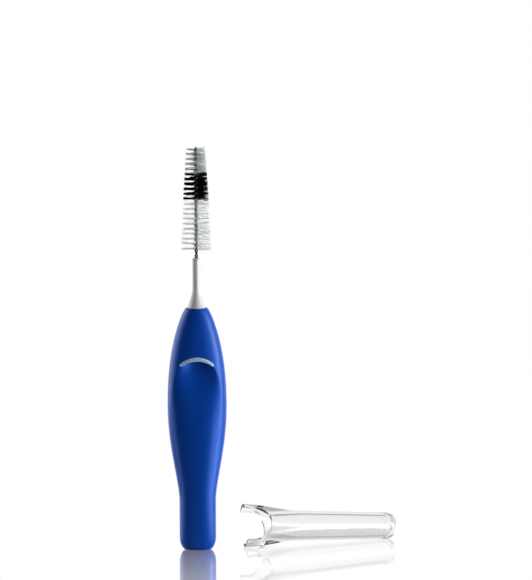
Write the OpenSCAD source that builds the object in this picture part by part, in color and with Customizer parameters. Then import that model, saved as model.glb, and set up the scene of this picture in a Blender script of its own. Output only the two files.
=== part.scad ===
// Interdental brush standing on its foot, with its clear cap taken off and lying beside it.
// Millimetres. Z is up along the brush, its front faces -Y and the cap lies towards +X.

/* [Handle] */
// Height of the handle, foot to crown
handle_h = 43.2; // [38:0.1:52]
// Width of the handle at its widest
belly_w = 10.4; // [9:0.1:13]
// Depth of the handle, front to back, at its thickest
belly_d = 6.8; // [6:0.1:9]
// Height above the foot where the handle is widest
belly_z = 26; // [22:0.1:30]
// Width of the lower grip
shank_w = 6.4; // [5.6:0.1:8]
// Depth of the lower grip
shank_d = 5.2; // [4.6:0.1:5.9]
// Height where the lower grip starts to widen
shank_h = 9; // [6:0.1:14]
// Diameter across the flat crown that carries the neck
crown_w = 3.7; // [3.5:0.05:4.5]
// Width of the flat foot
foot_w = 4; // [3:0.1:5.4]
// Depth of the flat foot
foot_d = 3.2; // [2.4:0.1:4.4]
// Height of the rounding above the foot
foot_round_h = 2.3; // [1:0.1:4]

/* [Thumb rest] */
// Depth of the dish in the front and in the back, at its deepest
dish_deep = 1.1; // [0.3:0.05:1.2]
// Height above the foot of the dish's widest part
dish_z = 24.75; // [22:0.05:27]
// Reach of the dish above its widest part
dish_up = 10; // [7:0.1:11]
// Reach of the dish below its widest part
dish_down = 8; // [5:0.1:12]
// Width of the rim beside the dish
dish_rim = 0.65; // [0.4:0.05:1.5]
// Width of the light arc on the dish's upper edge
arc_w = 6.3; // [4:0.1:7]
// Drop of the arc's outer edge from its middle to its ends
arc_drop = 1.5; // [1:0.1:2.2]
// Thickness of the arc at its middle
arc_t = 0.8; // [0.5:0.05:1.1]
// Share of that thickness left at the arc's ends
arc_end_share = 0.5; // [0.35:0.05:0.8]
// Height of the arc's face above the handle's front
arc_proud = 0.15; // [0.05:0.01:0.4]
// Depth of the arc's seat below the handle's front
arc_seat = 0.9; // [0.6:0.05:1.1]

/* [Core] */
// Length of the tang inside the handle
tang_len = 34; // [24:0.5:36]
// Diameter of the tang
tang_d = 2.6; // [2:0.1:3.1]
// Diameter of the tang's retaining collars
collar_d = 3.8; // [3.4:0.1:4.2]
// Height of each collar
collar_h = 1.2; // [0.8:0.1:2]
// Height of the neck above the crown
neck_h = 8.8; // [7.5:0.1:11]
// Diameter of the neck's foot on the crown
neck_base_d = 3.3; // [2.6:0.1:3.4]
// Diameter of the thin part of the neck
neck_d = 1.4; // [1.2:0.05:1.8]
// Height of the neck's widening
neck_flare_h = 3.6; // [2.5:0.1:5]
// Rounding of the neck's top edge
neck_round = 0.2; // [0.1:0.05:0.25]
// Clearance between pieces moulded round each other
mould_gap = 0.02; // [0.01:0.01:0.04]

/* [Wire] */
// Diameter of the bare wire
wire_d = 0.28; // [0.24:0.01:0.32]
// Gap between the two legs, where the filaments are pinched
pinch_gap = 0.08; // [0.08:0.01:0.12]
// Length of one full twist
wire_lead = 1.77; // [1.6:0.01:2]
// Angle of the wire's first leg where the filaments start
wire_turn = 45; // [0:5:180]
// Length of wire held inside the neck
wire_anchor = 6; // [3:0.1:7]
// Bare wire between the neck and the filaments
wire_bare = 1.5; // [0.6:0.1:3]

/* [Filaments] */
// Length of the bristled part
brush_len = 18; // [12:0.1:22]
// Diameter of the brush at its tip
brush_tip_d = 3.3; // [2.4:0.1:5]
// Diameter of the brush at its base
brush_base_d = 5.6; // [4:0.1:7]
// Length of the white filaments at the tip
tip_len = 4.3; // [2.5:0.1:5.5]
// Length of the black band below them
black_len = 4.7; // [3:0.1:6]
// Thickness of one modelled strand
strand_t = 0.07; // [0.05:0.005:0.07]
// Levels of strands in one twist
twist_levels = 16; // [12:2:18]

/* [Cap] */
// Length of the cap
cap_len = 28.3; // [26:0.1:36]
// Diameter of the cap's tube above the flare
cap_tube_d = 5.2; // [4.6:0.1:6]
// Diameter of the cap at its closed end
cap_end_d = 4.6; // [4.2:0.1:5.6]
// Width of the mouth, across the two prongs
mouth_w = 7.9; // [7.2:0.1:10]
// Depth of the mouth, across the two notches
mouth_d = 4.5; // [3.8:0.1:5]
// Length of the flare across the prongs
flare_len = 11.1; // [9:0.1:16]
// Length of the bore's widening at the mouth
bore_flare_len = 5.5; // [4:0.1:8]
// Wall of the cap
cap_wall = 0.6; // [0.35:0.05:0.7]
// Thickness of the closed end
cap_end_wall = 1.1; // [0.6:0.1:1.6]
// Rounding of the closed end
cap_end_round = 1.8; // [1:0.1:1.9]
// Width of the thumb notches, between the prongs
notch_w = 5.8; // [4.6:0.1:6.4]
// Length of the thumb notches
notch_len = 4.5; // [3.4:0.1:6]
// Free space between the handle's widest part and the middle of the cap's mouth
cap_gap = 3; // [3:0.1:12]
// Distance of the cap's mouth behind the brush
cap_back = 3.1; // [0:0.1:12]
// Angle by which the cap points away from the viewer
cap_yaw = 17.5; // [0:0.5:60]
// Angle by which the cap is rolled back on its own axis
cap_roll = 25; // [0:0.5:40]

/* [Hidden] */
// Overrun of a cut past the face it opens
over = 0.5;
$fn = 64;

// Shape of the handle's outline: powers of its swell, of its shoulder and of its cross section
swell_power = 0.75;
shoulder_power = 2.15;
shoulder_end_power = 0.81;
square_power = 2.6;
round_power = 2;
// Shape of the dish: how it deepens from its lower end and from its upper end, and how square its outline is
dish_low_power = 4.8;
dish_top_power = 0.9;
dish_end_power = 2.7;
// Shape of the neck's widening and of the brush's taper
neck_power = 1.56;
brush_power = 0.8;
// Places of the two collars along the tang, from its lower end
collar_shares = [0.1, 0.42];

// Number of faces and rings
grip_sides = 40;
foot_rings = 5;
swell_rings = 14;
dish_rings = 12;
shoulder_rings = 9;
neck_rings = 12;
wire_sides = 6;
wire_steps = 10;
fold_steps = 5;
cap_sides = 32;
flare_rings = 12;
dome_rings = 4;
strand_sides = 4;

dish_half_w = belly_w / 2 - dish_rim;
arc_z = dish_z + dish_up;
tang_z = handle_h - tang_len;
neck_top = handle_h + neck_h;
wire_r = wire_d / 2;
helix_r = wire_r + pinch_gap / 2;
wire_hole_d = 2 * (helix_r + wire_r + mould_gap);
brush_z = neck_top + wire_bare;
brush_top = brush_z + brush_len;
// The slice of filaments caught between the legs is as wide as a strand, and stays inside the pinch gap
pith = min(strand_t, pinch_gap - mould_gap / 2);
level_step = wire_lead / twist_levels;
level_count = floor(brush_len / level_step);
tip_levels = round(tip_len / level_step);
black_levels = round(black_len / level_step);

function clamp(u) = min(1, max(0, u));
function ease(u) = (1 - cos(180 * clamp(u))) / 2;
function mix(a, b, u) = a + (b - a) * u;
function signed_power(u, p) = sign(u) * pow(abs(u), p);

// Size across the handle at height z, from its sizes at the foot, along the lower grip and at the belly
function girth(z, foot, shank, belly) =
    z < foot_round_h ? mix(foot, shank, sqrt(1 - pow(1 - max(z, 0) / foot_round_h, 2)))
    : z < shank_h ? shank
    : z < belly_z ? mix(shank, belly, ease(pow((z - shank_h) / (belly_z - shank_h), swell_power)))
    : mix(crown_w, belly, pow(1 - pow(min(1, (z - belly_z) / (handle_h - belly_z)), shoulder_power),
        shoulder_end_power));
function half_width(z) = girth(z, foot_w, shank_w, belly_w) / 2;
function half_depth(z) = girth(z, foot_d, shank_d, belly_d) / 2;
// The cross section is a soft rectangle that turns into a circle at the crown
function section_power(z) =
    mix(square_power, round_power, pow(clamp((z - belly_z) / (handle_h - belly_z)), 2));

// How the dish deepens along its middle, from 0 at its lower end to 1 at its upper end
function dish_rise(u) = pow(u, dish_low_power) * pow(1 - u, dish_top_power);
dish_peak = dish_low_power / (dish_low_power + dish_top_power);
// Square of the dish's half width at a height dz above its widest part
function dish_reach_sq(dz) = dish_half_w * dish_half_w
    * (1 - pow(min(1, abs(dz) / (dz > 0 ? dish_up : dish_down)), dish_end_power));
// Share of the dish's full depth at a place on the front or the back
function dish_share(x, dz) =
    let (reach_sq = dish_reach_sq(dz))
    reach_sq <= x * x ? 0
    : (1 - x * x / reach_sq) * dish_rise((dz + dish_down) / (dish_up + dish_down)) / dish_rise(dish_peak);
// Distance of the handle's front from its middle plane
function front(x, z) =
    let (power = section_power(z), share = pow(1 - pow(min(1, abs(x) / half_width(z)), power), 1 / power))
    share * (half_depth(z) - dish_deep * dish_share(x, z - dish_z));

function grip_ring(z) = [for (i = [0 : grip_sides - 1])
    let (a = 360 * i / grip_sides, x = half_width(z) * signed_power(cos(a), 2 / section_power(z)))
    [x, sign(round(grip_sides * sin(a))) * front(x, z), z]];

// Triangles between rings of points, closed at both ends
function ring_faces(rings, sides) = concat(
    [for (r = [0 : rings - 2], k = [0 : sides - 1])
        let (a = r * sides + k, b = r * sides + (k + 1) % sides) [a, a + sides, b]],
    [for (r = [0 : rings - 2], k = [0 : sides - 1])
        let (a = r * sides + k, b = r * sides + (k + 1) % sides) [b, a + sides, b + sides]],
    [[for (k = [0 : sides - 1]) k]],
    [[for (k = [sides - 1 : -1 : 0]) (rings - 1) * sides + k]]);

module skin(rings) {
    polyhedron([for (ring = rings) each ring], ring_faces(len(rings), len(rings[0])), convexity = 6);
}

module grip_blank() {
    foot_zs = [for (i = [0 : foot_rings]) foot_round_h * (1 - cos(90 * i / foot_rings))];
    swell_zs = [for (i = [0 : swell_rings - 1]) mix(shank_h, belly_z, i / swell_rings)];
    dish_zs = [for (i = [0 : dish_rings - 1]) mix(belly_z, arc_z, i / dish_rings)];
    shoulder_zs = [for (i = [0 : shoulder_rings]) mix(arc_z, handle_h, sin(90 * i / shoulder_rings))];
    sole = [for (p = grip_ring(0)) [p.x, p.y, -over]];
    difference() {
        skin(concat([sole], [for (z = concat(foot_zs, swell_zs, dish_zs, shoulder_zs)) grip_ring(z)]));
        translate([-belly_w, -belly_w, -2 * over]) cube([2 * belly_w, 2 * belly_w, 2 * over]);
    }
}

// The tang and its collars, or the cavity that is moulded round them
module tang(gap) {
    translate([0, 0, tang_z - gap]) cylinder(d = tang_d + 2 * gap, h = tang_len + gap);
    for (share = collar_shares)
        translate([0, 0, tang_z + tang_len * share - gap])
            cylinder(d = collar_d + 2 * gap, h = collar_h + 2 * gap);
}

// Crescent in plan, its outer edge through the arc's middle and ends, made smaller all round by inset
module crescent(inset) {
    half = arc_w / 2;
    outer_r = (half * half + arc_drop * arc_drop) / (2 * arc_drop);
    reach = asin(half / outer_r);
    // The inner edge runs through the middle of the arc's lower side and the ends, at their thickness
    end_r = outer_r - arc_t * arc_end_share;
    end_x = end_r * sin(reach);
    end_drop = outer_r - end_r * cos(reach) - arc_t;
    inner_r = (end_x * end_x + end_drop * end_drop) / (2 * end_drop);
    cut_r = 2 * outer_r;
    intersection() {
        difference() {
            translate([0, -outer_r]) circle(r = outer_r - inset);
            translate([0, -arc_t - inner_r]) circle(r = inner_r + inset);
        }
        translate([0, -outer_r + inset / sin(reach)])
            polygon(cut_r * [[0, 0], [sin(reach), cos(reach)], [-sin(reach), cos(reach)]]);
    }
}

// A prism of the crescent through the front of the handle, from its seat outwards
module arc_prism(inset) {
    seat_y = half_depth(arc_z) - arc_seat - inset;
    translate([0, -(seat_y + 2 * inset), arc_z]) rotate([90, 0, 0])
        linear_extrude(belly_d / 2) crescent(inset);
}

module grip() {
    color([0.05, 0.2, 0.55]) difference() {
        grip_blank();
        tang(mould_gap);
        translate([0, 0, handle_h - over]) cylinder(d = tang_d + 2 * mould_gap, h = 2 * over);
        arc_prism(-mould_gap);
    }
}

module core() {
    color([0.88, 0.88, 0.86]) difference() {
        union() {
            tang(0);
            translate([0, 0, handle_h]) rotate_extrude() polygon(concat(
                [[0, 0]],
                [for (i = [0 : neck_rings])
                    let (u = i / neck_rings)
                    [mix(neck_d, neck_base_d, pow(1 - u, neck_power)) / 2, neck_flare_h * u]],
                [for (a = [0 : 30 : 90])
                    [neck_d / 2 - neck_round * (1 - cos(a)), neck_h - neck_round * (1 - sin(a))]],
                [[0, neck_h]]));
        }
        translate([0, 0, neck_top - wire_anchor - mould_gap])
            cylinder(d = wire_hole_d, h = wire_anchor + mould_gap + over);
    }
}

// The arc's face is a cylinder that follows the handle's front from side to side
module thumb_arc() {
    half = arc_w / 2;
    face_y = half_depth(arc_z - arc_drop) + arc_proud;
    sag = half_depth(arc_z) * (1 - pow(1 - pow(half / half_width(arc_z), section_power(arc_z)),
        1 / section_power(arc_z)));
    face_r = (half * half + sag * sag) / (2 * sag);
    color([0.64, 0.74, 0.95]) intersection() {
        arc_prism(mould_gap);
        translate([0, face_r - face_y, arc_z - 2 * arc_w]) cylinder(r = face_r, h = 4 * arc_w, $fn = 128);
    }
}

// Angle of the first leg of the wire at height z
function leg_angle(z) = 360 * (z - brush_z) / wire_lead + wire_turn;
function radial(a) = [cos(a), sin(a), 0];
function tangential(a) = [-sin(a), cos(a), 0];
wire_low = neck_top - wire_anchor;
wire_high = brush_top + mould_gap;
leg_steps = ceil(wire_steps * (wire_high - wire_low) / wire_lead);
leg_dir = 2 * PI * helix_r;
// A station of the wire is its place, its outward direction and its way along
function leg_station(i, turn, way) =
    let (z = mix(wire_low, wire_high, i / leg_steps), a = leg_angle(z) + turn)
    [helix_r * radial(a) + [0, 0, z], radial(a), way * (leg_dir * tangential(a) + [0, 0, wire_lead])];
function fold_station(i) =
    let (b = 180 * i / fold_steps, a = leg_angle(wire_high), out = cos(b) * radial(a) + [0, 0, sin(b)])
    [helix_r * out + [0, 0, wire_high], out, -sin(b) * radial(a) + [0, 0, cos(b)]];
// A flat side of the wire faces the other leg, so the turns keep clear of the filaments between them
function wire_ring(station) =
    let (way = station[2] / norm(station[2]), side = cross(way, station[1]))
    [for (k = [0 : wire_sides - 1])
        let (a = 360 * (k + 1 / 2) / wire_sides) station[0] + wire_r * (cos(a) * station[1] - sin(a) * side)];

// One wire, folded at the tip and twisted on itself
module wire() {
    stations = concat(
        [for (i = [0 : leg_steps]) leg_station(i, 0, 1)],
        [for (i = [1 : fold_steps - 1]) fold_station(i)],
        [for (i = [leg_steps : -1 : 0]) leg_station(i, 180, -1)]);
    color([0.42, 0.43, 0.42]) skin([for (s = stations) wire_ring(s)]);
}

// A level of strands, counted from the base of the brush: its height and its reach from the axis
function level_z(i) = brush_z + level_step * (i + 1 / 2);
function level_reach(i) = mix(brush_tip_d, brush_base_d, pow(clamp((brush_top - level_z(i)) / brush_len),
    brush_power)) / 2;
// Corners of a level, lower then upper: four of the pith and two strand tips of two corners each
function level_points(i) =
    let (a = leg_angle(level_z(i)) + 90, along = radial(a), across = pith / 2 * tangential(a))
    [for (h = [-1, 1], p = [[1, -1], [1, 1], [-1, 1], [-1, -1]])
        pith / 2 * p[0] * along + p[1] * across + [0, 0, level_z(i) + h * strand_t / 2],
     for (h = [-1, 1], p = [[1, -1], [1, 1], [-1, 1], [-1, -1]])
        level_reach(i) * p[0] * along + p[1] * across + [0, 0, level_z(i) + h * strand_t / 2]];
level_corners = 4 * strand_sides;
function split(q) = [[q[0], q[1], q[2]], [q[0], q[2], q[3]]];
// A strand on the side of the pith between two of its corners
function strand_faces(first, a, b) =
    let (low_a = first + a, low_b = first + b, top_a = low_a + 4, top_b = low_b + 4)
    let (tip_a = low_a + 8, tip_b = low_b + 8, tip_top_a = low_a + 12, tip_top_b = low_b + 12)
    [each split([low_a, tip_a, tip_b, low_b]),
     each split([low_b, tip_b, tip_top_b, top_b]),
     each split([top_b, tip_top_b, tip_top_a, top_a]),
     each split([top_a, tip_top_a, tip_a, low_a]),
     each split([tip_a, tip_top_a, tip_top_b, tip_b])];
function level_faces(first) =
    [each strand_faces(first, 0, 1),
     each strand_faces(first, 2, 3),
     each split([first + 1, first + 5, first + 6, first + 2]),
     each split([first + 3, first + 7, first + 4, first])];
function joint_faces(first) =
    [for (k = [0 : strand_sides - 1])
        let (low_a = first + 4 + k, low_b = first + 4 + (k + 1) % strand_sides)
        let (top_a = first + level_corners + k, top_b = first + level_corners + (k + 1) % strand_sides)
        each split([low_a, top_a, top_b, low_b])];

// Strands at the levels from one to another, fused to the slice caught between the legs of the wire
module filaments(from, to) {
    last = (to - from) * level_corners;
    polyhedron(
        [for (i = [from : to]) each level_points(i)],
        [for (i = [0 : to - from]) each level_faces(i * level_corners),
         for (i = [0 : to - from - 1]) each joint_faces(i * level_corners),
         each split([0, 1, 2, 3]),
         each split([last + 7, last + 6, last + 5, last + 4])],
        convexity = 10);
}

module tip_filaments() {
    color([0.93, 0.93, 0.92]) filaments(level_count - tip_levels, level_count - 1);
}

module black_filaments() {
    color([0.05, 0.05, 0.06])
        filaments(level_count - tip_levels - black_levels, level_count - tip_levels - 1);
}

module base_filaments() {
    color([0.93, 0.93, 0.92]) filaments(0, level_count - tip_levels - black_levels - 1);
}

// Half sizes of the cap at t along it from the mouth, across the prongs and across the notches.
// The prongs stand out over the whole flare, and the bore widens only near the mouth.
function tube_r(t) = mix(cap_tube_d, cap_end_d, clamp((t - flare_len) / (cap_len - flare_len))) / 2;
function cap_half_w(t, widening) = mix(mouth_w / 2, tube_r(t), ease(t / widening));
function cap_half_d(t) = mix(mouth_d / 2, tube_r(t), ease(t / bore_flare_len));
// A ring of the cap at t along it, with the half sizes of the place t_section drawn in by inset
function cap_ring(t, widening, inset, t_section) = [for (i = [0 : cap_sides - 1])
    let (a = 360 * i / cap_sides)
    [t, (cap_half_d(t_section) - inset) * cos(a), (cap_half_w(t_section, widening) - inset) * sin(a)]];
function cap_skin(length, widening, wall, corner) = concat(
    [for (i = [0 : flare_rings]) let (t = flare_len * i / flare_rings) cap_ring(t, widening, wall, t)],
    [for (i = [0 : dome_rings])
        let (a = 90 * i / dome_rings, t = length - corner)
        cap_ring(t + corner * sin(a), widening, wall + corner * (1 - cos(a)), t)]);

// The cap before it is laid down: its axis along X from the middle of the mouth, its prongs up and down
module cap_shell() {
    outer = cap_skin(cap_len, flare_len, 0, cap_end_round);
    inner = cap_skin(cap_len - cap_end_wall, bore_flare_len, cap_wall, cap_end_round - cap_wall);
    rings = concat([for (i = [len(inner) - 1 : -1 : 0]) inner[i]], outer);
    notch_mid = notch_len - notch_w / 2;
    difference() {
        skin(rings);
        translate([notch_mid, 0, 0]) rotate([90, 0, 0])
            cylinder(d = notch_w, h = 2 * mouth_d, center = true);
        translate([-over, -mouth_d, -notch_w / 2]) cube([notch_mid + over, 2 * mouth_d, notch_w]);
    }
}

// The cap lies on a lower prong and on its closed end
module cap() {
    mouth_drop = norm([mouth_w / 2 * cos(cap_roll), mouth_d / 2 * sin(cap_roll)]);
    lever = [mouth_drop - cap_end_d / 2 + cap_end_round, cap_len - cap_end_round];
    tilt = acos(cap_end_round / norm(lever)) - atan2(lever[1], lever[0]);
    color([0.9, 0.93, 0.96, 0.35])
        translate([belly_w / 2 + cap_gap, cap_back, mouth_drop * cos(tilt)])
            rotate([-cap_roll, tilt, cap_yaw]) cap_shell();
}

grip();
core();
thumb_arc();
wire();
tip_filaments();
black_filaments();
base_filaments();
cap();
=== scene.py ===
import math
import random

import bpy
import numpy as np
from mathutils import Euler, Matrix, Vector


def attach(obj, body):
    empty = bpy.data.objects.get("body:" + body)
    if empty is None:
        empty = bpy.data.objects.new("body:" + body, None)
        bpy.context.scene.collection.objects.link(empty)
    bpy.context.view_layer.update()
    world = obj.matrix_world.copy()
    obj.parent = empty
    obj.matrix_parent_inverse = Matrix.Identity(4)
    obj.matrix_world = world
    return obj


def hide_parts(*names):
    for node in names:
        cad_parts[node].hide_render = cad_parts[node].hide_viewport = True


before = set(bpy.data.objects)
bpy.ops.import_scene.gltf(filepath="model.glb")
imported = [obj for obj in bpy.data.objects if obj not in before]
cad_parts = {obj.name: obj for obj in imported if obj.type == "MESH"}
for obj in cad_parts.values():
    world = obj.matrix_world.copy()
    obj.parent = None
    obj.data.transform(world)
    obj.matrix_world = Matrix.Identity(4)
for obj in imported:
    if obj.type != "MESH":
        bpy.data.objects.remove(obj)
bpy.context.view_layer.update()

# Shapes are worked out in millimetres, as in the part's source, and leave this script in metres
MM = 0.001

# A name ends in _w for a width, in _d for a depth or a diameter, in _h or _len for a height or a length,
# in _t for a thickness, in _r for a radius, in _z for a height over the floor, and in _power for an exponent

# Handle: its sizes, the powers of its outline and of its section, and its parting line
handle_h = 43.2
belly_w, belly_d, belly_z = 10.4, 6.8, 26
shank_w, shank_d, shank_h = 6.4, 5.2, 9
crown_w = 3.7
foot_w, foot_d, foot_round_h = 4, 3.2, 2.3
swell_power, shoulder_power, shoulder_end_power = 0.75, 2.15, 0.81
square_power, round_power = 2.6, 2
crown_round = 0.14
seam_h, seam_half_w = 0.025, 0.07

# How far below and above the arc's top the handle's rows of points are closest
close_rows_down, close_rows_up = 3, 1

# Thumb rest: the dish, and the arc on its upper edge
dish_deep, dish_z, dish_up, dish_down, dish_rim = 1.1, 24.75, 10, 8, 0.65
dish_low_power, dish_top_power, dish_end_power = 4.8, 0.9, 2.7
arc_w, arc_drop, arc_t, arc_end_share = 6.3, 1.5, 0.8, 0.5
arc_proud, arc_sunk = 0.16, 0.85

# Share of the arc's half length that rounds off each end, and share of its width that is left there
arc_round_share, arc_tip_share = 0.05, 0.02

# Core: the tang and its collars, the neck, and the edges of both
tang_len, tang_d, collar_d, collar_h = 34, 2.6, 3.8, 1.2
collar_shares = [0.1, 0.42]
neck_h, neck_base_d, neck_d, neck_flare_h, neck_round = 8.8, 3.3, 1.4, 3.6, 0.2
neck_power = 1.56
mould_gap = 0.02
tang_chamfer, base_chamfer, hole_chamfer = 0.2, 0.04, 0.03

# How far above its flare the rows of the neck's straight stretch start
shaft_rows_up = 0.3

# Wire
wire_d, pinch_gap, wire_lead, wire_anchor, wire_bare = 0.28, 0.08, 1.77, 6, 1.5
wire_turn = math.radians(45)

# How far above the brush's lower end the painted shade on the bare wire starts to fade, and where it is gone
wire_painted_shade_up, wire_painted_shade_end_up = 0.3, 2

# Filaments
brush_len, brush_tip_d, brush_base_d, brush_power = 18, 3.3, 5.6, 0.8
tip_len, black_len = 4.3, 4.7

# Share of its stray in direction that a filament has at the wire, and share of its length that it may lack
root_turn_share, short_share = 0.7, 0.05

# Of one kind of filament: how many to a twist, how thick, how far they stray in direction and in height,
# and how much wider they fan out on the right, where their rows run together
tip_kind = (130, 0.065, 0.26, 0.035, 3.2)
black_kind = (190, 0.07, 0.3, 0.04, 0.7)
base_kind = (50, 0.05, 0.14, 0.055, 1.3)

# Cap
cap_len, cap_tube_d, cap_end_d = 28.3, 5.2, 4.6
mouth_w, mouth_d, flare_len, bore_flare_len = 7.9, 4.5, 11.1, 5.5
cap_wall, cap_end_wall, cap_end_round = 0.6, 1.1, 1.8
notch_w, notch_len, prong_corner_r = 5.8, 4.5, 0.25
cap_gap, cap_back = 3, 3.1
cap_yaw, cap_roll = math.radians(17.5), math.radians(25)

# How far the lip stands out, as a share of the wall, how much of the flare the rings take to even out after
# the notches, and how far round the closed end they go
lip_share, even_share, cap_end_angle = 0.12, 0.75, math.radians(88)

# Studio, in metres: how bright its white is where it lights the object, how much of the floor glows where it
# is seen, and how bright the dimmed parts are: the world's dark front and ceiling, and the painted shade on
# the floor
fill_level, glow_share = 0.03, 0.94
front_level, ceiling_level, steep_painted_shade_level, below_painted_shade_level = 0.02, 0.4, 0.74, 0.65
lights_aim = (0, 0, 0.035)

# Where white turns to dim: by direction in the world, and, as painted shade on the floor, by place on it and
# by the Facing of a view of it
world_front_ys, ceiling_zs = (0.3, -0.1), (0.42, 0.6)
floor_painted_shade_ys = (-0.012, -0.05)
steep_painted_shade_facings, below_painted_shade_facings = (0.84, 0.77), (0.36, 0.24)

# The lamps' painted reflections, patches where the floor glows for gloss, in levels of white: where they
# fade in along X and by bearing, which is Y over the distance along X, and where both end beside the brush
right_painted_image, left_painted_image = 11, 3
right_painted_image_xs, right_painted_image_bearings = (0.01, 0.03), (-2.2, -1.1)
left_painted_image_xs, left_painted_image_bearings = (-0.01, -0.03), (-0.7, -0.3)
painted_image_end_bearings = (0.04, -0.08)

# The floor's own mirror: it fades at a steeper view, along Y, and outside an oval by the foot
mirror_facing, mirror_power = 0.84, 20
mirror_ys, mirror_gains = (-0.05, 0), (0.7, 0.9)
oval_half_w, oval_half_len, oval_y = 0.0062, 0.034, -0.02
oval_edge, outside_share = (1, 2.2), 0.45

dish_half_w = belly_w / 2 - dish_rim
arc_z = dish_z + dish_up
tang_z = handle_h - tang_len
neck_top = handle_h + neck_h
wire_r = wire_d / 2
helix_r = wire_r + pinch_gap / 2
brush_z = neck_top + wire_bare
brush_top = brush_z + brush_len


def clamp(u):
    return min(1.0, max(0.0, u))


def ease(u):
    return (1 - math.cos(math.pi * clamp(u))) / 2


def mix(a, b, u):
    return a + (b - a) * u


def steps(low, high, count):
    """Count values from low up to, but without, high."""
    return [mix(low, high, i / count) for i in range(count)]


def quarter_turn(count):
    """Angles that divide a quarter turn into count parts, with both its ends."""
    return steps(0, math.pi / 2, count) + [math.pi / 2]


# Mesh helpers

def skin_faces(ring_count, sides):
    """Quads between rings of points that close on themselves."""
    return [
        (r * sides + k, r * sides + (k + 1) % sides, (r + 1) * sides + (k + 1) % sides, (r + 1) * sides + k)
        for r in range(ring_count - 1) for k in range(sides)
    ]


def closed_skin(rings):
    """Points and faces of a solid through its rings, with a flat face at each end."""
    sides = len(rings[0])
    points = [p for ring in rings for p in ring]
    faces = skin_faces(len(rings), sides)
    last = (len(rings) - 1) * sides
    faces.append(tuple(reversed(range(sides))))
    faces.append(tuple(range(last, last + sides)))
    return points, faces


def make_piece(name, shape, material, body, node, sharp_angle=40):
    """Makes a piece in metres from points and faces in millimetres, in place of a node of the frame."""
    points, faces = shape
    mesh = bpy.data.meshes.new(name)
    mesh.from_pydata([tuple(MM * float(c) for c in p) for p in points], [], faces)
    mesh.materials.append(material)
    mesh.shade_smooth()
    mesh.set_sharp_from_angle(angle=math.radians(sharp_angle))
    piece = bpy.data.objects.new(name, mesh)
    bpy.context.scene.collection.objects.link(piece)
    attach(piece, body)
    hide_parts(node)


# Node helpers

def math_node(tree, operation, a, b=0, clamped=False):
    """A Math node whose inputs are sockets or numbers."""
    node = tree.nodes.new("ShaderNodeMath")
    node.operation = operation
    node.use_clamp = clamped
    for socket, value in zip(node.inputs, (a, b)):
        if isinstance(value, (int, float)):
            socket.default_value = value
        else:
            tree.links.new(value, socket)
    return node.outputs["Value"]


def map_range(tree, value, low, high, to_low, to_high, smooth=False):
    node = tree.nodes.new("ShaderNodeMapRange")
    if smooth:
        node.interpolation_type = "SMOOTHSTEP"
    for name, number in (("From Min", low), ("From Max", high), ("To Min", to_low), ("To Max", to_high)):
        node.inputs[name].default_value = number
    tree.links.new(value, node.inputs["Value"])
    return node.outputs["Result"]


def coordinates(tree, kind):
    """The X, Y and Z of a place or a direction."""
    split = tree.nodes.new("ShaderNodeSeparateXYZ")
    tree.links.new(tree.nodes.new("ShaderNodeTexCoord").outputs[kind], split.inputs["Vector"])
    return split.outputs


# Materials

def principled(name, color, roughness):
    """A material, its node tree and its shader, whose constants serve readers that skip the textures."""
    material = bpy.data.materials.new(name)
    material.use_nodes = True
    shader = material.node_tree.nodes["Principled BSDF"]
    shader.inputs["Base Color"].default_value = (*color, 1)
    shader.inputs["Roughness"].default_value = roughness
    return material, material.node_tree, shader


def noise(tree, per_metre, detail=3):
    """Noise over the object's own coordinates, with this many features to a metre."""
    place = tree.nodes.new("ShaderNodeTexCoord")
    texture = tree.nodes.new("ShaderNodeTexNoise")
    texture.inputs["Scale"].default_value = per_metre
    texture.inputs["Detail"].default_value = detail
    tree.links.new(place.outputs["Object"], texture.inputs["Vector"])
    return texture.outputs["Fac"]


def vary_color(tree, shader, factor, color_a, color_b):
    """Lets the color go from a, where the factor is 0, to b, where it is 1."""
    blend = tree.nodes.new("ShaderNodeMix")
    blend.data_type = "RGBA"
    blend.inputs["A"].default_value = (*color_a, 1)
    blend.inputs["B"].default_value = (*color_b, 1)
    tree.links.new(factor, blend.inputs["Factor"])
    tree.links.new(blend.outputs["Result"], shader.inputs["Base Color"])


def vary_roughness(tree, shader, factor, low, high):
    tree.links.new(map_range(tree, factor, 0, 1, low, high), shader.inputs["Roughness"])


def add_bump(tree, shader, per_metre, strength, distance):
    bump = tree.nodes.new("ShaderNodeBump")
    bump.inputs["Strength"].default_value = strength
    bump.inputs["Distance"].default_value = distance
    tree.links.new(noise(tree, per_metre, 2), bump.inputs["Height"])
    tree.links.new(bump.outputs["Normal"], shader.inputs["Normal"])


def blue_plastic():
    material, tree, shader = principled("blue_plastic", (0.002, 0.076, 0.53), 0.34)
    vary_color(tree, shader, noise(tree, 160), (0.0018, 0.073, 0.51), (0.0024, 0.079, 0.55))
    vary_roughness(tree, shader, noise(tree, 700), 0.3, 0.38)
    add_bump(tree, shader, 5000, strength=0.12, distance=0.00002)
    shader.inputs["Specular IOR Level"].default_value = 0.27
    shader.inputs["Specular Tint"].default_value = (0.58, 0.84, 1, 1)
    return material


def neck_plastic():
    material, tree, shader = principled("neck_plastic", (0.82, 0.82, 0.8), 0.4)
    vary_color(tree, shader, noise(tree, 300), (0.8, 0.8, 0.785), (0.85, 0.85, 0.835))
    vary_roughness(tree, shader, noise(tree, 900), 0.34, 0.46)
    add_bump(tree, shader, 4000, strength=0.1, distance=0.00002)
    shader.inputs["Subsurface Weight"].default_value = 0.35
    shader.inputs["Subsurface Radius"].default_value = (1, 1, 1)
    shader.inputs["Subsurface Scale"].default_value = 0.0005
    return material


def arc_plastic():
    material, tree, shader = principled("arc_plastic", (0.57, 0.79, 1), 0.36)
    vary_color(tree, shader, noise(tree, 400), (0.54, 0.76, 0.98), (0.6, 0.82, 1))
    vary_roughness(tree, shader, noise(tree, 900), 0.3, 0.42)
    add_bump(tree, shader, 5000, strength=0.1, distance=0.00002)
    return material


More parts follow.
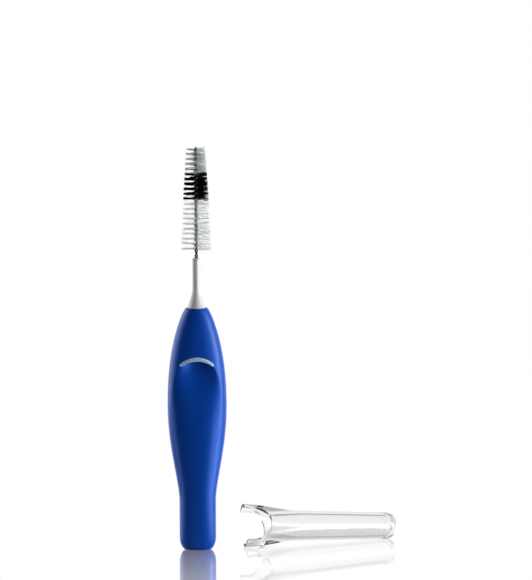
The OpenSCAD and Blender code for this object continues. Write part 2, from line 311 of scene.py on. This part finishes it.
def wire_steel():
    """Steel whose colour is painted nearly black on the bare wire, as painted shade that fades out inside
    the brush, where its tone varies at random.
    """
    material, tree, shader = principled("wire_steel", (0.12, 0.13, 0.125), 0.34)
    shader.inputs["Metallic"].default_value = 1
    # Painted shade: the wire's colour is near black on the bare stretch and lightens above it
    painted_shade_z, painted_shade_end_z = MM * (brush_z + wire_painted_shade_up), MM * (brush_z + wire_painted_shade_end_up)
    past_painted_shade = map_range(tree, coordinates(tree, "Object")["Z"], painted_shade_z, painted_shade_end_z, 0, 1, True)
    tone_past_painted_shade = math_node(tree, "MULTIPLY", noise(tree, 2500), past_painted_shade)
    vary_color(tree, shader, tone_past_painted_shade, (0.012, 0.014, 0.013), (0.22, 0.235, 0.23))
    vary_roughness(tree, shader, noise(tree, 4000), 0.26, 0.44)
    add_bump(tree, shader, 12000, strength=0.2, distance=0.00001)
    return material


def nylon(name, color_a, color_b, clearness, gloss):
    material, tree, shader = principled(name, color_a, 0.4)
    vary_color(tree, shader, noise(tree, 900), color_a, color_b)
    vary_roughness(tree, shader, noise(tree, 1500), 0.34, 0.5)
    shader.inputs["Transmission Weight"].default_value = clearness
    shader.inputs["IOR"].default_value = 1.2
    shader.inputs["Specular IOR Level"].default_value = gloss
    return material


def clear_plastic():
    material, tree, shader = principled("clear_plastic", (1, 1, 1), 0.03)
    vary_color(tree, shader, noise(tree, 250), (0.97, 0.98, 0.985), (1, 1, 1))
    vary_roughness(tree, shader, noise(tree, 600), 0.02, 0.05)
    add_bump(tree, shader, 500, strength=0.08, distance=0.00005)
    shader.inputs["Transmission Weight"].default_value = 1
    shader.inputs["IOR"].default_value = 1.46
    absorb = tree.nodes.new("ShaderNodeVolumeAbsorption")
    absorb.inputs["Color"].default_value = (0.35, 0.37, 0.39, 1)
    absorb.inputs["Density"].default_value = 40
    tree.links.new(absorb.outputs["Volume"], tree.nodes["Material Output"].inputs["Volume"])
    return material


# Handle

def girth(z, foot, shank, belly):
    """Size across the handle at height z, from its sizes at the foot, along the grip and at the belly."""
    if z < foot_round_h:
        return mix(foot, shank, math.sqrt(1 - (1 - max(z, 0) / foot_round_h) ** 2))
    if z < shank_h:
        return shank
    if z < belly_z:
        return mix(shank, belly, ease(((z - shank_h) / (belly_z - shank_h)) ** swell_power))
    share = min(1, (z - belly_z) / (handle_h - belly_z))
    return mix(crown_w, belly, (1 - share ** shoulder_power) ** shoulder_end_power)


def half_width(z):
    return girth(z, foot_w, shank_w, belly_w) / 2


def half_depth(z):
    return girth(z, foot_d, shank_d, belly_d) / 2


def section_power(z):
    """Power of the superellipse across the handle, which turns into an ellipse at the crown."""
    return mix(square_power, round_power, clamp((z - belly_z) / (handle_h - belly_z)) ** 2)


def dish_rise(u):
    """How the dish deepens along its middle, from 0 at its lower end to 1 at its upper end."""
    return u ** dish_low_power * (1 - u) ** dish_top_power


def dish_share(x, z):
    """Share of the dish's full depth: a bowl below the arc that fades towards the lower grip."""
    dz = z - dish_z
    past = min(1, abs(dz) / (dish_up if dz > 0 else dish_down))
    reach_sq = dish_half_w ** 2 * (1 - past ** dish_end_power)
    if reach_sq <= x * x:
        return 0
    peak = dish_low_power / (dish_low_power + dish_top_power)
    rise = dish_rise((dz + dish_down) / (dish_up + dish_down)) / dish_rise(peak)
    return (1 - x * x / reach_sq) * rise


def section_share(x, z):
    """Share of the half depth that the handle has at x, without the dish."""
    power = section_power(z)
    return (1 - min(1, abs(x) / half_width(z)) ** power) ** (1 / power)


def handle_ring(z, directions, inset=0):
    """The handle's outline at height z, seen in these directions from its middle."""
    power = section_power(z)
    wide, deep = half_width(z) - inset, half_depth(z) - inset
    ring = []
    for a in directions:
        c, s = math.cos(a), math.sin(a)
        r = (abs(c / wide) ** power + abs(s / deep) ** power) ** (-1 / power)
        x, y = r * c, r * s
        y *= 1 - dish_deep * dish_share(x, z) / half_depth(z)
        seam = seam_h * max(0, 1 - abs(y) / seam_half_w)
        ring.append((x + math.copysign(seam, x), y, z))
    return ring


def handle_shape():
    side_count = 168
    seam_angles = [math.radians(d) for d in (-0.75, -0.35, 0, 0.35, 0.75)]
    quarter = 2 * math.pi / side_count
    directions = []
    # Close points on each side carry the parting line, and even ones go on from there
    for side in (0, math.pi):
        directions += [side + a for a in seam_angles]
        directions += [side + quarter * k for k in range(1, side_count // 2)]
    foot_zs = [foot_round_h * (1 - math.cos(a)) for a in steps(0, math.pi / 2, 16)]
    zs = (foot_zs + steps(foot_round_h, shank_h, 14) + steps(shank_h, belly_z - dish_down, 22)
          + steps(belly_z - dish_down, arc_z - close_rows_down, 60)
          + steps(arc_z - close_rows_down, arc_z + close_rows_up, 40))
    crown_low = handle_h - crown_round
    zs += [mix(arc_z + close_rows_up, crown_low, math.sin(a)) for a in steps(0, math.pi / 2, 36)]
    rings = [handle_ring(z, directions) for z in zs]
    for a in quarter_turn(5):
        rings.append(handle_ring(crown_low + crown_round * math.sin(a), directions,
                                 crown_round * (1 - math.cos(a))))
    return closed_skin(rings)


# Light arc on the dish's upper edge

def arc_edges():
    """Radii of the arc's outer and inner edge, and the half angles that they span."""
    half = arc_w / 2
    outer_r = (half ** 2 + arc_drop ** 2) / (2 * arc_drop)
    reach = math.asin(half / outer_r)
    end_r = outer_r - arc_t * arc_end_share
    end_x, end_drop = end_r * math.sin(reach), outer_r - end_r * math.cos(reach) - arc_t
    inner_r = (end_x ** 2 + end_drop ** 2) / (2 * end_drop)
    return outer_r, reach, inner_r, math.asin(end_x / inner_r)


def arc_point(outer, inner, v, proud):
    """A point at a share v of the way from the arc's outer edge to its inner edge, proud of the handle."""
    x, z = mix(outer[0], inner[0], v), mix(outer[1], inner[1], v)
    return x, -(section_share(x, z) * half_depth(z) + proud), z


def arc_shape():
    """A rounded ridge that follows the handle's front, sunk a little into it."""
    outer_r, reach, inner_r, inner_reach = arc_edges()
    length_steps, width_steps = 96, 14
    rings = []
    for i in range(length_steps + 1):
        u = -math.cos(math.pi * i / length_steps)
        past = clamp((abs(u) - 1 + arc_round_share) / arc_round_share)
        narrow = math.sqrt(max(1 - past ** 2, arc_tip_share ** 2))
        outer = (outer_r * math.sin(reach * u), arc_z - outer_r * (1 - math.cos(reach * u)))
        inner = (inner_r * math.sin(inner_reach * u),
                 arc_z - arc_t - inner_r * (1 - math.cos(inner_reach * u)))
        ring = []
        for j in range(width_steps + 1):
            v = (1 - math.cos(math.pi * j / width_steps)) / 2
            crest = math.sqrt(max(0, 1 - (2 * v - 1) ** 4)) * math.sqrt(narrow)
            ring.append(arc_point(outer, inner, 0.5 + (v - 0.5) * narrow, arc_proud * (2 * crest - 1)))
        for v in (1, 0.5, 0):
            ring.append(arc_point(outer, inner, 0.5 + (v - 0.5) * narrow, -arc_sunk))
        rings.append(ring)
    return closed_skin(rings)


# Core: the neck with its tang and collars inside the handle, turned about the brush's axis

def lathe(profile, sides):
    """A solid of revolution from a profile of (radius, z) that starts and ends off the axis."""
    rings = [[(r * math.cos(2 * math.pi * k / sides), r * math.sin(2 * math.pi * k / sides), z)
              for k in range(sides)] for r, z in profile]
    return closed_skin(rings)


def core_profile():
    tang_r, collar_r, base_r, neck_r = tang_d / 2, collar_d / 2, neck_base_d / 2, neck_d / 2
    hole_r = helix_r + wire_r + mould_gap
    profile = [(tang_r - tang_chamfer, tang_z), (tang_r, tang_z + tang_chamfer)]
    for share in collar_shares:
        low = tang_z + tang_len * share
        profile += [(tang_r, low), (collar_r, low), (collar_r, low + collar_h), (tang_r, low + collar_h)]
    profile += [(tang_r, handle_h), (base_r - base_chamfer, handle_h), (base_r, handle_h + base_chamfer)]
    flare_steps = 40
    for i in range(1, flare_steps + 1):
        u = i / flare_steps
        profile.append((mix(neck_d, neck_base_d, (1 - u) ** neck_power) / 2, handle_h + neck_flare_h * u))
    shaft_z = handle_h + neck_flare_h + shaft_rows_up
    profile += [(neck_r, z) for z in steps(shaft_z, neck_top - neck_round, 8)]
    profile += [(neck_r - neck_round * (1 - math.cos(a)), neck_top - neck_round * (1 - math.sin(a)))
                for a in quarter_turn(6)]
    profile += [(hole_r + hole_chamfer, neck_top), (hole_r, neck_top - hole_chamfer),
                (hole_r, neck_top - wire_anchor)]
    return profile


# Wire: one strand, folded at the tip and twisted on itself

def leg_angle(z):
    """Direction of the wire's first leg from the brush's axis at height z."""
    return 2 * math.pi * (z - brush_z) / wire_lead + wire_turn


def radial(a):
    return np.array([math.cos(a), math.sin(a), 0])


def tangential(a):
    return np.array([-math.sin(a), math.cos(a), 0])


def wire_ring(centre, outward, way):
    """A ring of points around the wire, which goes this way past a centre."""
    sides = 16
    way = way / np.linalg.norm(way)
    side = np.cross(way, outward)
    return [centre + wire_r * (math.cos(a) * outward + math.sin(a) * side)
            for a in (2 * math.pi * (k + 0.5) / sides for k in range(sides))]


def wire_shape():
    rings_per_twist, fold_rings = 26, 14
    low, high = neck_top - wire_anchor, brush_top + mould_gap
    up = np.array([0, 0, 1])
    leg_zs = steps(low, high, round(rings_per_twist * (high - low) / wire_lead)) + [high]
    climb = wire_lead * up

    def leg_ring(z, turn, way):
        a = leg_angle(z) + turn
        along = way * (2 * math.pi * helix_r * tangential(a) + climb)
        return wire_ring(helix_r * radial(a) + z * up, radial(a), along)

    def fold_ring(b):
        a = leg_angle(high)
        out = math.cos(b) * radial(a) + math.sin(b) * up
        return wire_ring(helix_r * out + high * up, out, -math.sin(b) * radial(a) + math.cos(b) * up)

    rings = [leg_ring(z, 0, 1) for z in leg_zs]
    rings += [fold_ring(b) for b in steps(0, math.pi, fold_rings)[1:]]
    rings += [leg_ring(z, math.pi, -1) for z in reversed(leg_zs)]
    return closed_skin(rings)


# Filaments: each is caught between the wire's legs at its middle

def brush_reach(z):
    """How far the filaments reach from the brush's axis at height z."""
    return mix(brush_tip_d, brush_base_d, clamp((brush_top - z) / brush_len) ** brush_power) / 2


def filament_rings(z, thickness, stray_turn, stray_lift, right_fan, chance):
    """Rings of one filament, whose halves stray by themselves."""
    half_rings, sides = 5, 4
    reach = brush_reach(z)
    direction = leg_angle(z) + math.pi / 2
    halves = []
    for sign in (-1, 1):
        turn = chance.gauss(0, stray_turn)
        fan = 1 + right_fan * max(0, sign * math.cos(direction))
        lift, curl = (chance.gauss(0, stray_lift * fan) for _ in range(2))
        length = reach * (1 + chance.uniform(-short_share, 0))
        half = []
        for i in range(half_rings + 1):
            u = i / half_rings
            r = length * u
            a = direction + turn * mix(root_turn_share, 1, u)
            half.append(sign * r * radial(a) + np.array([0, 0, z + r * (lift + curl * u)]))
        halves.append(half)
    line = list(reversed(halves[0])) + halves[1][1:]
    rings = []
    for i, p in enumerate(line):
        way = line[min(i + 1, len(line) - 1)] - line[max(i - 1, 0)]
        way = way / np.linalg.norm(way)
        side = np.cross(way, [0, 0, 1])
        side = side / np.linalg.norm(side)
        under = np.cross(way, side)
        rings.append([p + thickness / 2 * (math.cos(a) * side + math.sin(a) * under)
                      for a in (2 * math.pi * k / sides for k in range(sides))])
    return rings


def filaments_shape(low, high, kind, seed):
    """All filaments of one kind between two heights, as one mesh."""
    chance = random.Random(seed)
    per_twist, *strays = kind
    count = round((high - low) / wire_lead * per_twist)
    points, faces = [], []
    for i in range(count):
        z = mix(low, high, (i + 0.5) / count)
        more_points, more_faces = closed_skin(filament_rings(z, *strays, chance))
        faces += [tuple(len(points) + k for k in face) for face in more_faces]
        points += more_points
    return points, faces


# Cap: a flared tube with two prongs at its mouth

def tube_r(t):
    """Outer radius of the cap's tube at the place t along the cap, from its mouth."""
    return mix(cap_tube_d, cap_end_d, clamp((t - flare_len) / (cap_len - flare_len))) / 2


def outer_sizes(t):
    """Half sizes of the cap's outside across the prongs and across the notches."""
    return (mix(mouth_w / 2, tube_r(t), ease(t / flare_len)),
            mix(mouth_d / 2, tube_r(t), ease(t / bore_flare_len)))


def bore_sizes(t):
    """Half sizes of the cap's bore, which widens only near the mouth."""
    flare = ease(t / bore_flare_len)
    return (mix(mouth_w / 2, tube_r(t), flare) - cap_wall,
            mix(mouth_d / 2, tube_r(t), flare) - cap_wall)


def cap_point(a, t, sizes, inset=0):
    """A point of the cap before it is laid down, with its mouth at the origin and its axis along X."""
    wide, deep = sizes
    return np.array([t, (deep - inset) * math.cos(a), (wide - inset) * math.sin(a)])


def notch_edge(sizes_at):
    """A skin's edge at the mouth, once round it, as angles and as places along the cap."""
    notch_r = notch_w / 2
    notch_mid = notch_len - notch_r
    edge = []
    for b in quarter_turn(28):
        t = notch_mid + notch_r * math.cos(b)
        edge.append((math.asin(notch_r * math.sin(b) / sizes_at(t)[0]), t))
    for t in steps(notch_mid, prong_corner_r, 6)[1:]:
        edge.append((math.asin(notch_r / sizes_at(t)[0]), t))
    side_a = math.asin(notch_r / sizes_at(0)[0])
    corner_a = prong_corner_r / (sizes_at(0)[0] * math.cos(side_a))
    for b in quarter_turn(4):
        edge.append((side_a + corner_a * (1 - math.cos(b)), prong_corner_r * (1 - math.sin(b))))
    edge += [(a, 0) for a in steps(side_a + corner_a, math.pi / 2, 10)[1:]]
    edge.append((math.pi / 2, 0))
    half = edge + [(math.pi - a, t) for a, t in reversed(edge[:-1])]
    return half + [(math.pi + a, t) for a, t in half[1:-1]]


def cap_skin(sizes_at, length, corner):
    """Rings of one skin of the wall, from the mouth's edge to the closed end."""
    edge = notch_edge(sizes_at)
    even = [2 * math.pi * k / len(edge) for k in range(len(edge))]
    even_t = flare_len * even_share
    rings = []
    for v in steps(0, 1, 26):
        ring = []
        for (a, t), e in zip(edge, even):
            along, evened = mix(t, even_t, v), v * v * (3 - 2 * v)
            ring.append(cap_point(mix(a, e, evened), along, sizes_at(along)))
        rings.append(ring)
    for t in steps(even_t, length - corner, 36):
        rings.append([cap_point(e, t, sizes_at(t)) for e in even])
    sizes = sizes_at(length - corner)
    for b in steps(0, math.pi / 2, 12) + [cap_end_angle]:
        t, inset = length - corner + corner * math.sin(b), corner * (1 - math.cos(b))
        rings.append([cap_point(e, t, sizes, inset) for e in even])
    return rings


def cap_shape():
    outer = cap_skin(outer_sizes, cap_len, cap_end_round)
    inner = cap_skin(bore_sizes, cap_len - cap_end_wall, cap_end_round - cap_wall)
    lip_out = lip_share * cap_wall
    lip = []
    for b in steps(math.pi, 0, 6)[1:]:
        ring = []
        for outer_p, inner_p, next_p in zip(outer[0], inner[0], outer[1]):
            outward = (outer_p - next_p) / np.linalg.norm(outer_p - next_p)
            ring.append((outer_p + inner_p) / 2 + math.cos(b) * (outer_p - inner_p) / 2
                        + lip_out * math.sin(b) * outward)
        lip.append(ring)
    points, faces = closed_skin(list(reversed(inner)) + lip + outer)
    return lay_cap(points), faces


def lay_cap(points):
    """Lays the cap down on a lower prong and on its closed end, beside the handle."""
    mouth_drop = math.hypot(mouth_w / 2 * math.cos(cap_roll), mouth_d / 2 * math.sin(cap_roll))
    lever = (mouth_drop - cap_end_d / 2 + cap_end_round, cap_len - cap_end_round)
    tilt = math.acos(cap_end_round / math.hypot(*lever)) - math.atan2(lever[1], lever[0])
    turn = np.array(Euler((-cap_roll, tilt, cap_yaw)).to_matrix())
    place = np.array([belly_w / 2 + cap_gap, cap_back, mouth_drop * math.cos(tilt)])
    return [turn @ p + place for p in points]


def build_object():
    white = nylon("white_nylon", (0.86, 0.89, 0.88), (0.93, 0.95, 0.94), clearness=0.6, gloss=0.5)
    black = nylon("black_nylon", (0.003, 0.003, 0.0035), (0.006, 0.006, 0.007), clearness=0, gloss=0.1)
    tip_low = brush_top - tip_len
    black_low = tip_low - black_len
    make_piece("handle", handle_shape(), blue_plastic(), "brush", "grip",
               sharp_angle=24)
    make_piece("thumb_rest_arc", arc_shape(), arc_plastic(), "brush", "thumb_arc",
               sharp_angle=60)
    make_piece("neck", lathe(core_profile(), 96), neck_plastic(), "brush", "core")
    make_piece("twisted_wire", wire_shape(), wire_steel(), "brush", "wire")
    make_piece("tip_bristles", filaments_shape(tip_low, brush_top, tip_kind, seed=3), white, "brush",
               "tip_filaments", sharp_angle=60)
    make_piece("black_bristles", filaments_shape(black_low, tip_low, black_kind, seed=5), black, "brush",
               "black_filaments", sharp_angle=60)
    make_piece("base_bristles", filaments_shape(brush_z, black_low, base_kind, seed=7), white, "brush",
               "base_filaments", sharp_angle=60)
    make_piece("clear_cap", cap_shape(), clear_plastic(), "cap", "cap", sharp_angle=50)


# Studio

def seen_indirectly(tree, path):
    """1 for rays off gloss and through clear plastic."""
    return math_node(tree, "ADD", path.outputs["Is Glossy Ray"], path.outputs["Is Transmission Ray"], True)


def seen_in_gloss(tree, path):
    """1 for rays off gloss only: rays through clear plastic count as glossy too, and are left out."""
    glossy, transmitted = path.outputs["Is Glossy Ray"], path.outputs["Is Transmission Ray"]
    return math_node(tree, "SUBTRACT", glossy, transmitted, True)


def seen_white(tree, path):
    """1 for the rays that see the backdrop: from the camera, off gloss and through clear plastic."""
    return math_node(tree, "ADD", path.outputs["Is Camera Ray"], seen_indirectly(tree, path), True)


def shaded(tree, rays, where, clear, dark, level):
    """1, but level for these rays where a value has passed from clear to dark."""
    loss = map_range(tree, where, clear, dark, 0, 1 - level, True)
    return math_node(tree, "SUBTRACT", 1, math_node(tree, "MULTIPLY", rays, loss))


def make_world():
    """White all round. Gloss shows its front dark, and gloss and clear plastic show its ceiling dimmed."""
    world = bpy.data.worlds.new("studio")
    bpy.context.scene.world = world
    world.use_nodes = True
    tree = world.node_tree
    background = tree.nodes["Background"]
    direction = coordinates(tree, "Generated")
    path = tree.nodes.new("ShaderNodeLightPath")
    front = shaded(tree, seen_in_gloss(tree, path), direction["Y"], *world_front_ys, front_level)
    ceiling = shaded(tree, seen_indirectly(tree, path), direction["Z"], *ceiling_zs, ceiling_level)
    seen = map_range(tree, seen_white(tree, path), 0, 1, fill_level, 1)
    background.inputs["Color"].default_value = (1, 1, 1, 1)
    level = math_node(tree, "MULTIPLY", front, ceiling)
    tree.links.new(math_node(tree, "MULTIPLY", seen, level), background.inputs["Strength"])


def painted_lamp_image(tree, place, bearing, xs, bearings, level):
    """One lamp's painted reflection: a glow of the floor that fades in along X and by bearing."""
    by_x = map_range(tree, place["X"], *xs, 0, level, True)
    return math_node(tree, "MULTIPLY", by_x, map_range(tree, bearing, *bearings, 0, 1, True))


def painted_lamp_images(tree, place, path):
    """Painted reflections of the lamps: patches of the floor to the right and left of the brush that glow
    for gloss only.
    """
    bearing = math_node(tree, "DIVIDE", place["Y"], math_node(tree, "ABSOLUTE", place["X"]))
    right = painted_lamp_image(tree, place, bearing, right_painted_image_xs, right_painted_image_bearings, right_painted_image)
    left = painted_lamp_image(tree, place, bearing, left_painted_image_xs, left_painted_image_bearings, left_painted_image)
    before_end = map_range(tree, bearing, *painted_image_end_bearings, 0, 1, True)
    shown = math_node(tree, "MULTIPLY", seen_in_gloss(tree, path), before_end)
    return math_node(tree, "MULTIPLY", math_node(tree, "ADD", right, left), shown)


def floor_level(tree, place, path, facing):
    """How bright the floor is, where 1 is the backdrop's white, with painted shade where it is dimmed and
    the lamps' painted reflections added.
    """
    # Painted shade: the floor's glow is dimmed in front for gloss, and at steep views for gloss and clear
    # plastic
    front = shaded(tree, seen_in_gloss(tree, path), place["Y"], *floor_painted_shade_ys, front_level)
    painted_steep_shade = shaded(tree, seen_indirectly(tree, path), facing, *steep_painted_shade_facings, steep_painted_shade_level)
    painted_below_shade = shaded(tree, seen_indirectly(tree, path), facing, *below_painted_shade_facings, below_painted_shade_level)
    level = math_node(tree, "MULTIPLY", front, math_node(tree, "MULTIPLY", painted_steep_shade, painted_below_shade))
    return math_node(tree, "ADD", level, painted_lamp_images(tree, place, path))


def mirror_share(tree, place, facing):
    """How much of the floor's surface is mirror."""
    grazing = math_node(tree, "POWER", math_node(tree, "DIVIDE", facing, mirror_facing), mirror_power)
    across = math_node(tree, "DIVIDE", place["X"], oval_half_w)
    along = math_node(tree, "DIVIDE", math_node(tree, "SUBTRACT", place["Y"], oval_y), oval_half_len)
    across_sq, along_sq = (math_node(tree, "POWER", reach, 2) for reach in (across, along))
    reach_sq = math_node(tree, "ADD", across_sq, along_sq)
    by_oval = map_range(tree, reach_sq, *oval_edge, 1, outside_share, True)
    gain = math_node(tree, "MULTIPLY", map_range(tree, place["Y"], *mirror_ys, *mirror_gains), by_oval)
    return math_node(tree, "MULTIPLY", grazing, gain, True)


def mix_shaders(tree, share, shader_a, shader_b):
    node = tree.nodes.new("ShaderNodeMixShader")
    for socket, value in zip(node.inputs, (share, shader_a, shader_b)):
        tree.links.new(value, socket)
    return node.outputs["Shader"]


def floor_material():
    """White acrylic: bright as the backdrop, with a mirror image only at a grazing angle, and painted shade
    and painted lamp reflections in its glow.
    """
    material = bpy.data.materials.new("floor")
    material.use_nodes = True
    tree = material.node_tree
    tree.nodes.remove(tree.nodes["Principled BSDF"])
    place = coordinates(tree, "Object")
    path = tree.nodes.new("ShaderNodeLightPath")
    facing = tree.nodes.new("ShaderNodeLayerWeight").outputs["Facing"]
    matte = tree.nodes.new("ShaderNodeBsdfDiffuse")
    matte.inputs["Color"].default_value = (0.25, 0.25, 0.25, 1)
    glow = tree.nodes.new("ShaderNodeEmission")
    level = math_node(tree, "DIVIDE", floor_level(tree, place, path, facing), glow_share)
    tree.links.new(level, glow.inputs["Strength"])
    mirror = tree.nodes.new("ShaderNodeBsdfGlossy")
    mirror.inputs["Color"].default_value = (1, 1, 1, 1)
    mirror.inputs["Roughness"].default_value = 0.04
    glowing = math_node(tree, "MULTIPLY", seen_white(tree, path), glow_share)
    lit = mix_shaders(tree, glowing, matte.outputs["BSDF"], glow.outputs["Emission"])
    surface = mix_shaders(tree, mirror_share(tree, place, facing), lit, mirror.outputs["BSDF"])
    tree.links.new(surface, tree.nodes["Material Output"].inputs["Surface"])
    return material


def make_floor():
    half = 2.0
    corners = [(-half, -half, 0), (half, -half, 0), (half, half, 0), (-half, half, 0)]
    mesh = bpy.data.meshes.new("floor")
    mesh.from_pydata(corners, [], [(0, 1, 2, 3)])
    mesh.materials.append(floor_material())
    floor = bpy.data.objects.new("floor", mesh)
    bpy.context.scene.collection.objects.link(floor)


def area_light(name, place, size, power):
    """A soft lamp, aimed at the brush and not seen by the camera."""
    data = bpy.data.lights.new(name, "AREA")
    data.shape = "RECTANGLE"
    data.size, data.size_y = size
    data.energy = power
    light = bpy.data.objects.new(name, data)
    light.visible_camera = False
    light.location = place
    light.rotation_euler = (Vector(lights_aim) - Vector(place)).to_track_quat("-Z", "Y").to_euler()
    bpy.context.scene.collection.objects.link(light)


def make_camera():
    """A long lens that looks slightly down on the brush."""
    elevation, distance, roll = math.radians(7.6), 1.593, math.radians(-0.28)
    aim = Vector((12.28, 0, 46.28)) * MM
    data = bpy.data.cameras.new("camera")
    data.sensor_fit = "HORIZONTAL"
    data.sensor_width = 36
    data.lens = 610.5
    data.clip_start, data.clip_end = 0.1, 10
    camera = bpy.data.objects.new("camera", data)
    back = Vector((0, -math.cos(elevation), math.sin(elevation)))
    camera.location = aim + distance * back
    camera.rotation_mode = "QUATERNION"
    camera.rotation_quaternion = (-back).to_track_quat("-Z", "Y") @ Euler((0, 0, roll)).to_quaternion()
    bpy.context.scene.collection.objects.link(camera)
    bpy.context.scene.camera = camera


bpy.context.scene.view_settings.view_transform = "Standard"
make_camera()
make_world()
make_floor()

# Lamps: place and size in metres, and power in watts
area_light("key", (0.572, -0.143, 0.125), (0.35, 0.26), 3.5)
area_light("strip", (0.352, -0.436, 0.1), (0.1, 0.2), 0.15)
area_light("rim", (-0.52, 0.15, 0.15), (0.6, 0.4), 2.2)

build_object()
